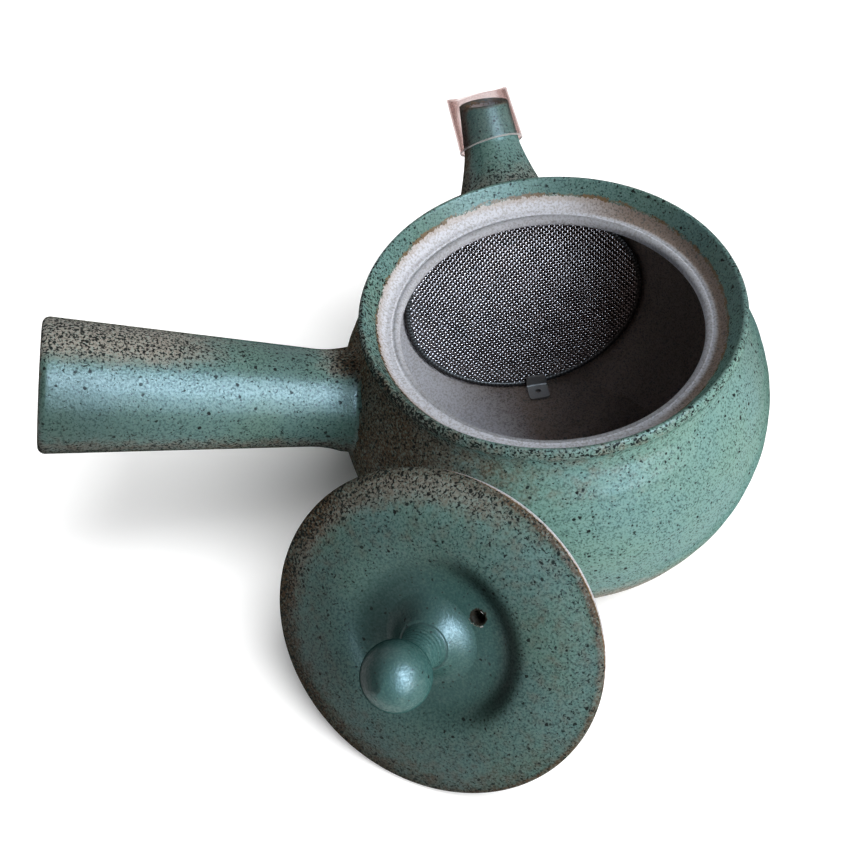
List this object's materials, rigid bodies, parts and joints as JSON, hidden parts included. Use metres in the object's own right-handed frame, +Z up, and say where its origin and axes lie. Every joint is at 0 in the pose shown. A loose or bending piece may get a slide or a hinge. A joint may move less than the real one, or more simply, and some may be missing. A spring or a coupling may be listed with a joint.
{
  "type": "kyusu teapot",
  "caption": "Side-handled glazed stoneware teapot with a lift-off lid, a pull-out wire strainer wedged before the spout, and a clear slip-on spout guard.",
  "frame": {"origin": "centre of the pot's flat foot, on the table", "axes": "+Z up along the pot's axis; the handle points along -X; the spout points along +Y, within 2 degrees"},
  "size_m": [0.1551, 0.1499, 0.0754],
  "materials": {
    "glaze": "semi-gloss turquoise-green glaze with dark iron speckle, bare pale clay inside the rim",
    "steel": "fine woven stainless wire with a folded hem",
    "clear_plastic": "thin clear soft plastic tube"
  },
  "bodies": {
    "pot": {"pot_body": "glaze", "handle": "glaze", "spout": "glaze"},
    "strainer": {"strainer_mesh": "steel", "strainer_hem": "steel", "strainer_tab": "steel"},
    "guard": {"spout_guard": "clear_plastic"},
    "lid": {"lid": "glaze", "lid_knob": "glaze"}
  },
  "joints": [
    {"name": "lid_lift", "type": "slide", "parent": "pot", "child": "lid", "axis": [0, 0, 1], "range_m": [0, 0.1]},
    {"name": "strainer_pull", "type": "slide", "parent": "pot", "child": "strainer", "axis": [0, -1, 0], "range_m": [0, 0.025]},
    {"name": "guard_pull", "type": "slide", "parent": "pot", "child": "guard", "axis": [-0.0902, 0.7838, 0.6145], "range_m": [0, 0.02]}
  ]
}
